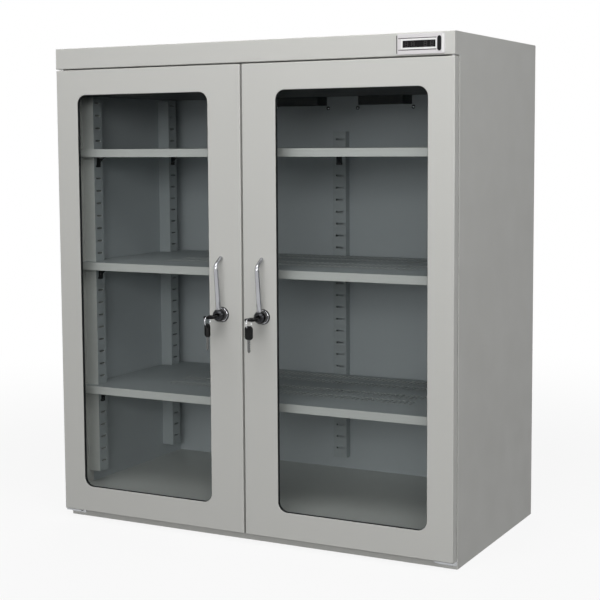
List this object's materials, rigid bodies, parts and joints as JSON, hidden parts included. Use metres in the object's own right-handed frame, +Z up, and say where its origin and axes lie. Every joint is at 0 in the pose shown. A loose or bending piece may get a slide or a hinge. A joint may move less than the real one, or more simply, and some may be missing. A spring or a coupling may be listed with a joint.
{
  "type": "camera dry cabinet",
  "caption": "Two-door humidity-controlled storage cabinet for cameras: glazed doors with locking levers, perforated shelves on slotted uprights, dryer covers and a header display.",
  "frame": {"origin": "centre of the body's footprint at the ground", "axes": "+Z up, the doors face -Y, +X to the right seen from the front"},
  "size_m": [0.9, 0.5393, 1.01],
  "materials": {
    "paint": "fine-textured warm grey powder coat",
    "inner_paint": "smooth light grey powder coat",
    "black_plastic": "black moulded plastic",
    "gloss_black": "smoked black display lens",
    "rubber": "black rubber",
    "glass": "grey tinted toughened glass",
    "lock_chrome": "dark chrome plate",
    "plug_chrome": "bright chrome plate",
    "steel": "zinc-plated steel",
    "silver": "silver paint",
    "board": "green circuit board",
    "nylon": "off-white nylon"
  },
  "bodies": {
    "cabinet": {"top_cover": "paint", "left_side_panel": "paint", "right_side_panel": "paint", "back_panel": "paint", "bottom_pan": "paint", "front_sill": "paint", "front_lintel": "paint", "centre_post": "paint", "inner_floor": "inner_paint", "inner_ceiling": "inner_paint", "front_left_upright": "inner_paint", "front_right_upright": "inner_paint", "rear_left_upright": "inner_paint", "rear_right_upright": "inner_paint", "rear_centre_upright": "inner_paint", "top_shelf": "inner_paint", "middle_shelf": "inner_paint", "lower_shelf": "inner_paint", "top_shelf_clips": "black_plastic", "middle_shelf_clips": "black_plastic", "lower_shelf_clips": "black_plastic", "dryer_covers": "black_plastic", "cover_screws": "steel", "drying_units": "steel", "humidity_sensor": "nylon", "control_board": "board", "power_inlet": "black_plastic", "rear_vent_plates": "paint", "display_bezel": "silver", "display_window": "gloss_black", "display_board": "board", "upper_hinges": "steel", "lower_hinges": "steel"},
    "set_key": {"set_key": "black_plastic"},
    "left_door": {"left_door_shell": "paint", "left_door_liner": "inner_paint", "left_door_glass": "glass", "left_glass_seal": "rubber", "left_door_gasket": "rubber", "left_hinge_bushes": "nylon", "left_rosette": "plug_chrome"},
    "left_handle": {"left_handle": "lock_chrome", "left_latch_tongue": "steel"},
    "left_lock_plug": {"left_lock_plug": "plug_chrome"},
    "left_key": {"left_key": "black_plastic"},
    "left_key_ring": {"left_key_ring": "steel"},
    "left_spare_key": {"left_spare_key": "black_plastic"},
    "right_door": {"right_door_shell": "paint", "right_door_liner": "inner_paint", "right_door_glass": "glass", "right_glass_seal": "rubber", "right_door_gasket": "rubber", "right_hinge_bushes": "nylon", "right_rosette": "plug_chrome"},
    "right_handle": {"right_handle": "lock_chrome", "right_latch_tongue": "steel"},
    "right_lock_plug": {"right_lock_plug": "plug_chrome"},
    "right_key": {"right_key": "black_plastic"},
    "right_key_ring": {"right_key_ring": "steel"},
    "right_spare_key": {"right_spare_key": "black_plastic"}
  },
  "joints": [
    {"name": "left_door_hinge", "type": "hinge", "parent": "cabinet", "child": "left_door", "pos_m": [-0.442, -0.223, 0.5], "axis": [0, 0, -1], "range_deg": [0, 110]},
    {"name": "left_handle_turn", "type": "hinge", "parent": "left_door", "child": "left_handle", "pos_m": [-0.047, -0.235, 0.465], "axis": [0, -1, 0], "range_deg": [0, 90]},
    {"name": "left_lock_turn", "type": "hinge", "parent": "left_handle", "child": "left_lock_plug", "pos_m": [-0.047, -0.235, 0.465], "axis": [0, 1, 0], "range_deg": [0, 90]},
    {"name": "left_key_slide", "type": "slide", "parent": "left_lock_plug", "child": "left_key", "axis": [0, -1, 0], "range_m": [0, 0.022]},
    {"name": "left_ring_swing", "type": "hinge", "parent": "left_key", "child": "left_key_ring", "pos_m": [-0.047, -0.2937, 0.465], "axis": [1, 0, 0], "range_deg": [-15, 15]},
    {"name": "left_spare_key_swing", "type": "hinge", "parent": "left_key_ring", "child": "left_spare_key", "pos_m": [-0.047, -0.2937, 0.4485], "axis": [0, 1, 0], "range_deg": [-25, 25]},
    {"name": "right_door_hinge", "type": "hinge", "parent": "cabinet", "child": "right_door", "pos_m": [0.442, -0.223, 0.5], "axis": [0, 0, 1], "range_deg": [0, 110]},
    {"name": "right_handle_turn", "type": "hinge", "parent": "right_door", "child": "right_handle", "pos_m": [0.047, -0.235, 0.465], "axis": [0, 1, 0], "range_deg": [0, 90]},
    {"name": "right_lock_turn", "type": "hinge", "parent": "right_handle", "child": "right_lock_plug", "pos_m": [0.047, -0.235, 0.465], "axis": [0, -1, 0], "range_deg": [0, 90]},
    {"name": "right_key_slide", "type": "slide", "parent": "right_lock_plug", "child": "right_key", "axis": [0, -1, 0], "range_m": [0, 0.022]},
    {"name": "right_ring_swing", "type": "hinge", "parent": "right_key", "child": "right_key_ring", "pos_m": [0.047, -0.2937, 0.465], "axis": [1, 0, 0], "range_deg": [-15, 15]},
    {"name": "right_spare_key_swing", "type": "hinge", "parent": "right_key_ring", "child": "right_spare_key", "pos_m": [0.047, -0.2937, 0.4485], "axis": [0, 1, 0], "range_deg": [-25, 25]},
    {"name": "set_key_press", "type": "slide", "parent": "cabinet", "child": "set_key", "axis": [0, 1, 0], "range_m": [0, 0.0008], "stiffness_N_per_m": 300}
  ]
}
